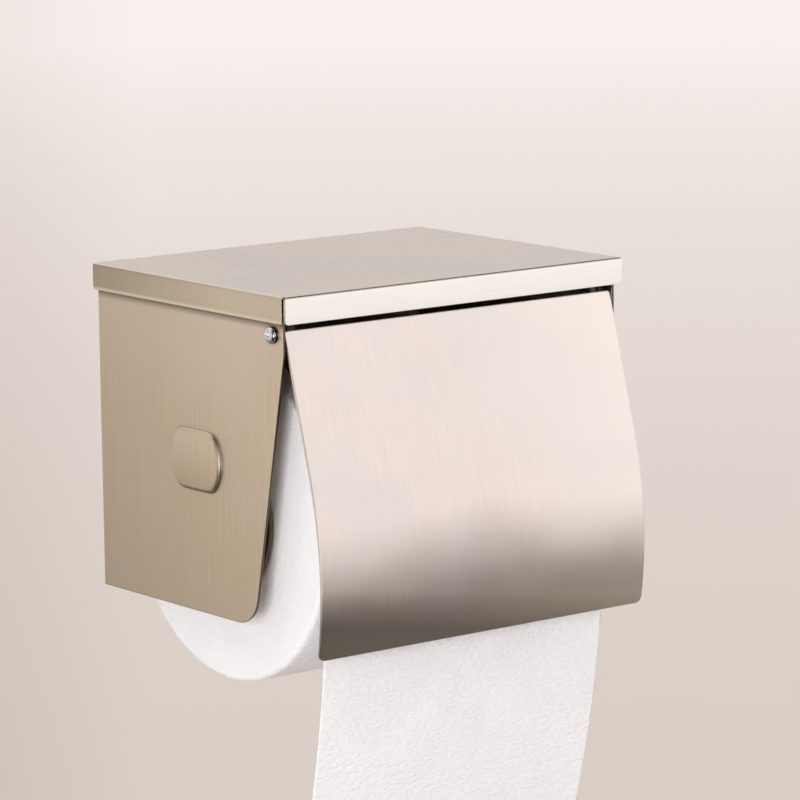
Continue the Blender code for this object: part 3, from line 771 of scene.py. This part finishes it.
def dimple(x, distance):
    """The depth of the embossing on the flat sheet: staggered rows of small round dimples."""
    row = round(distance / DIMPLE_PITCH)
    shift = 0.5 * DIMPLE_PITCH * (row % 2)
    column = round((x - shift) / DIMPLE_PITCH)
    jitter = noise.noise(Vector((column * 3.7, row * 5.3, 0))) * 0.25 * DIMPLE_PITCH
    aside = x - shift - column * DIMPLE_PITCH - jitter
    away = math.hypot(aside, distance - row * DIMPLE_PITCH + jitter)
    return DIMPLE_DEPTH * math.exp(-((away / DIMPLE_RADIUS) ** 2))


def sheet_radius(radius):
    """How far the outside of the sheet is from the roll's axis where it lies on the roll."""
    return radius + SHEET_CLEARANCE + SHEET_THICKNESS


def sheet_point(distance, x, centre, radius, half_width):
    """A point of the loose sheet and its outward direction, at a distance from its start."""
    over = sheet_radius(radius)
    drop = edge_drop(x, half_width) * EDGE_FOLLOW
    wrapped = over * (math.pi / 2 - SHEET_WRAP_START)
    if distance < wrapped:
        angle = SHEET_WRAP_START + distance / over
        outward = Vector((0, -math.sin(angle), math.cos(angle)))
        return Vector((x, centre.y, centre.z)) + outward * (over - drop), outward
    below = distance - wrapped
    fade = max(1 - below / SHEET_EDGE_FADE, 0)
    wave = SHEET_WAVE * math.sin(x * 40 + 0.6) * min(below / SHEET_WAVE_DEPTH, 1) ** 2
    flutter = noise.noise(Vector((x * 30, below * 26, 2.0)))
    wave += SHEET_FLUTTER * flutter * min(below / SHEET_FLUTTER_DEPTH, 1)
    y = centre.y - over + SHEET_CURL * below**2 + wave + drop * fade
    outward = Vector((0, -1, -2 * SHEET_CURL * below)).normalized()
    return Vector((x, y, centre.z - below)), outward


def make_sheet(material):
    """The loose end: over the front of the roll, down behind the flap, to a torn edge."""
    centre, radius, half_width, _ = roll_shape()
    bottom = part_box("paper_tail")[0].z
    wrapped = sheet_radius(radius) * (math.pi / 2 - SHEET_WRAP_START)
    length = wrapped + centre.z - bottom
    rows = round(length / SHEET_GRID)
    columns = round(2 * half_width / SHEET_GRID)
    bm = bmesh.new()
    grid = []
    for row in range(rows + 1):
        distance = length * row / rows
        line = []
        for column in range(columns + 1):
            x = -half_width + 2 * half_width * column / columns
            torn = SHEET_TEAR * (column % 2) if row == rows else 0
            point, outward = sheet_point(distance - torn, x, centre, radius, half_width)
            line.append(bm.verts.new(point - outward * dimple(x, distance)))
        grid.append(line)
    for above, below in zip(grid, grid[1:]):
        for index in range(columns):
            bm.faces.new((above[index], below[index], below[index + 1], above[index + 1]))
    sheet = mesh_object("loose_sheet", bm, material)
    solidify = sheet.modifiers.new("thickness", "SOLIDIFY")
    solidify.thickness = SHEET_THICKNESS
    solidify.offset = -1
    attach(sheet, "holder")
    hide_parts("paper_tail")


# Stage


def make_floor():
    """A pale floor, painted shade near and to the left, far enough down that other views miss it.
    """
    bm = bmesh.new()
    bmesh.ops.create_circle(bm, cap_ends=True, segments=64, radius=FLOOR_RADIUS)
    material, tree, shader = new_material("floor", Roughness=1.0, Specular_IOR_Level=0.0)
    place = object_place(tree)
    away = length_of(tree, place)
    sideways = vector_maths(tree, "DOT_PRODUCT", place, FLOOR_RIGHTWARDS)
    turn = maths(tree, "DIVIDE", sideways, maths(tree, "ADD", away, 1.0))
    # Painted shade: the floor is darker near the holder and on its left
    fade = spread(tree, away, *FLOOR_FADE)
    right = mix_colours(tree, fade, *FLOOR_RIGHT)
    left = mix_colours(tree, fade, *FLOOR_LEFT)
    colour = mix_colours(tree, spread(tree, turn, *FLOOR_TURN), left, right)
    tree.links.new(colour, shader.inputs["Base Color"])
    floor = mesh_object("floor", bm, material)
    floor.location.z = FLOOR_HEIGHT
    floor.visible_glossy = False


def make_world():
    """Soft studio surroundings that light the holder and are mirrored in its steel.

    The front is bright above the horizon and dark below it, dimmer to the left. The back is a
    pale wall. The camera sees a plain pale backdrop in their place.
    """
    world = bpy.data.worlds.new("studio")
    bpy.context.scene.world = world
    world.use_nodes = True
    tree = world.node_tree
    direction = add_node(tree, "TexCoord").outputs["Generated"]
    parts = add_node(tree, "SeparateXYZ", {0: direction}).outputs
    across, back, up = parts["X"], parts["Y"], parts["Z"]
    rightmost = spread(tree, across, *LOW_RIGHT_ACROSS)
    low_right = product(tree, rightmost, spread(tree, up, *LOW_RIGHT_UP))
    ahead = mix_colours(tree, low_right, ramp(tree, up, AHEAD), LOW_RIGHT)
    dimmer = add_node(tree, "VectorMath", {0: ahead, "Scale": LEFT_DIM}, operation="SCALE")
    ahead = mix_colours(tree, spread(tree, across, *LEFT_FADE), ahead, dimmer.outputs["Vector"])
    towards_pane = vector_maths(tree, "DOT_PRODUCT", direction, PANE_DIRECTION)
    ahead = mix_colours(tree, spread(tree, towards_pane, *PANE_FADE), ahead, PANE_COLOUR)
    lag = spread(tree, across, *BEHIND_LAG_ACROSS, 0.0, BEHIND_LAG)
    behind = spread(tree, maths(tree, "ADD", back, lag), *BEHIND_START)
    colour = mix_colours(tree, behind, ahead, ramp(tree, up, BEHIND))
    seen = add_node(tree, "LightPath").outputs["Is Camera Ray"]
    colour = mix_colours(tree, seen, colour, BACKDROP)
    tree.links.new(colour, tree.nodes["Background"].inputs["Color"])


def add_light(kind, name, place, power, colour, **shape):
    """A light that points at the holder and isn't mirrored in the steel."""
    data = bpy.data.lights.new(name, kind)
    data.energy = power
    data.color = colour
    for setting, value in shape.items():
        setattr(data, setting, value)
    light = bpy.data.objects.new(name, data)
    light.location = place
    towards = Vector(LIGHT_TARGET) - Vector(place)
    light.rotation_euler = towards.to_track_quat("-Z", "Y").to_euler()
    light.visible_glossy = False
    bpy.context.scene.collection.objects.link(light)


def make_lights():
    """Power is in watts for the area lights and in watts per square metre for the sun."""
    add_light("AREA", "key", (-1.18, -0.96, 0.16), 15.5, (1, 0.985, 0.98), size=0.5)
    add_light("AREA", "right", (1.3, 0.4, 0.3), 7, (1, 0.99, 0.98), size=0.8)
    add_light("AREA", "low", (-1.3, -0.35, -0.5), 1.5, (1, 0.99, 0.99), size=0.8)
    add_light("SUN", "sky", (-0.3, -0.5, 1.5), 1.32, (1, 0.99, 0.99), angle=math.radians(60))


def make_camera():
    data = bpy.data.cameras.new("camera")
    data.lens = CAMERA_LENS
    data.sensor_width = 36
    data.clip_start = 0.05
    data.clip_end = 200
    camera = bpy.data.objects.new("camera", data)
    camera.location = CAMERA_PLACE
    camera.rotation_euler = tuple(math.radians(angle) for angle in CAMERA_TURN)
    bpy.context.scene.collection.objects.link(camera)
    bpy.context.scene.camera = camera


def main():
    bpy.context.scene.view_settings.view_transform = "Standard"
    make_camera()
    make_world()
    make_floor()
    finish_nodes()
    make_spring(bright_metal("spring_wire", SPRING_STEEL, 0.25))
    centre, radius, _, _ = roll_shape()
    paper = tissue("tissue", tuple(centre), radius)
    make_roll(paper)
    make_sheet(paper)
    make_lights()


main()
